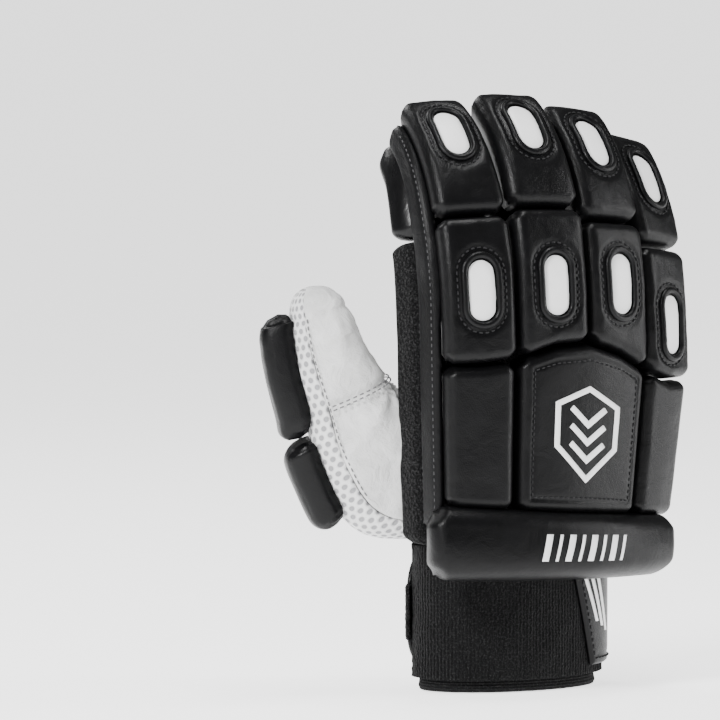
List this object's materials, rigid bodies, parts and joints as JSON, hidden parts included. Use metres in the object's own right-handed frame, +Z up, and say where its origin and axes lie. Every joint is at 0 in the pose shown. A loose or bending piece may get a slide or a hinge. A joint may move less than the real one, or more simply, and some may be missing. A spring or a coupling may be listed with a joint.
{
  "type": "cricket batting glove",
  "caption": "Right-hand cricket batting glove: curved padded rolls over the back and fingers, leather palm, padded thumb and a strapped towelling cuff.",
  "frame": {"origin": "centre of the bounding box at the bottom of the cuff, where the glove stands", "axes": "+Z up from the cuff toward the fingertips, +X from the thumb side to the little finger, +Y from the padded back to the palm"},
  "size_m": [0.1954, 0.1008, 0.2672],
  "materials": {
    "black_leather": "soft sheen black leather",
    "black_knit": "black knitted fabric",
    "black_towelling": "black looped towelling and fleece",
    "white_leather": "soft creased white leather",
    "white_mesh": "white mesh with round holes",
    "white_panel": "smooth white synthetic leather"
  },
  "bodies": {
    "root": {"roll_index_lower": "black_leather", "roll_index_upper": "black_leather", "roll_middle_lower": "black_leather", "roll_middle_upper": "black_leather", "roll_ring_lower": "black_leather", "roll_ring_upper": "black_leather", "roll_little_lower": "black_leather", "roll_little_upper": "black_leather", "block_index": "black_leather", "block_emblem": "black_leather", "block_little": "black_leather", "wrist_roll": "black_leather", "side_strip": "black_leather", "side_roll": "black_leather", "side_fleece": "black_towelling", "vent_rim_index_lower": "black_leather", "vent_rim_index_upper": "black_leather", "vent_rim_middle_lower": "black_leather", "vent_rim_middle_upper": "black_leather", "vent_rim_ring_lower": "black_leather", "vent_rim_ring_upper": "black_leather", "vent_rim_little_lower": "black_leather", "vent_rim_little_upper": "black_leather", "vent_index_lower": "white_panel", "vent_index_upper": "white_panel", "vent_middle_lower": "white_panel", "vent_middle_upper": "white_panel", "vent_ring_lower": "white_panel", "vent_ring_upper": "white_panel", "vent_little_lower": "white_panel", "vent_little_upper": "white_panel", "badge": "white_panel", "sleeve_index": "black_knit", "sleeve_middle": "black_knit", "sleeve_ring": "black_knit", "sleeve_little": "black_knit", "net_index": "black_knit", "net_middle": "black_knit", "net_ring": "black_knit", "net_little": "black_knit", "hood_index": "black_leather", "hood_middle": "black_leather", "hood_ring": "black_leather", "hood_little": "black_leather", "palm_leather": "white_leather", "back_of_hand": "black_knit", "thumb_leather": "white_leather", "thumb_mesh": "white_mesh", "thumb_roll_lower": "black_leather", "thumb_roll_upper": "black_leather", "cuff_band": "black_towelling", "cuff_hem": "black_knit", "strap": "black_leather", "strap_tab": "black_towelling"}
  },
  "joints": []
}
